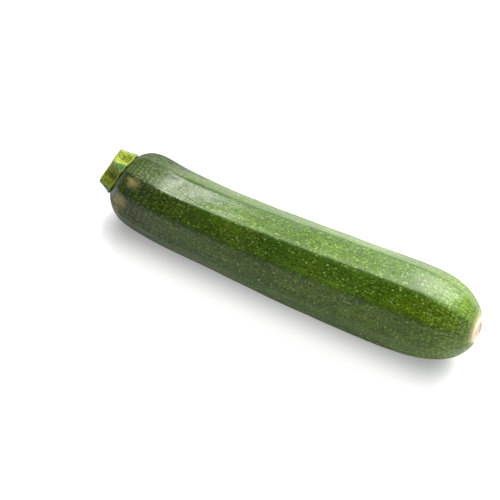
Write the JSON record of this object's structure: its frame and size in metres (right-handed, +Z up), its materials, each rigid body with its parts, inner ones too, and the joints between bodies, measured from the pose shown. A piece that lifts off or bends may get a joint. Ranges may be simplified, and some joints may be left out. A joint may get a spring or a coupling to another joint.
{
  "type": "zucchini",
  "caption": "Whole zucchini lying on its side: a ribbed, slightly bowed green fruit with a lobed, cut stem at one end and a round blossom scar at the other.",
  "frame": {"origin": "on the surface that it lies on, under the middle of its box", "axes": "+X along the fruit from the cut stem to the blossom end, -Y to the front, +Z up"},
  "size_m": [0.2124, 0.0458, 0.046],
  "materials": {
    "skin": "satin",
    "stem_green": "satin"
  },
  "bodies": {
    "root": {"fruit": "skin", "stem": "stem_green"}
  },
  "joints": []
}
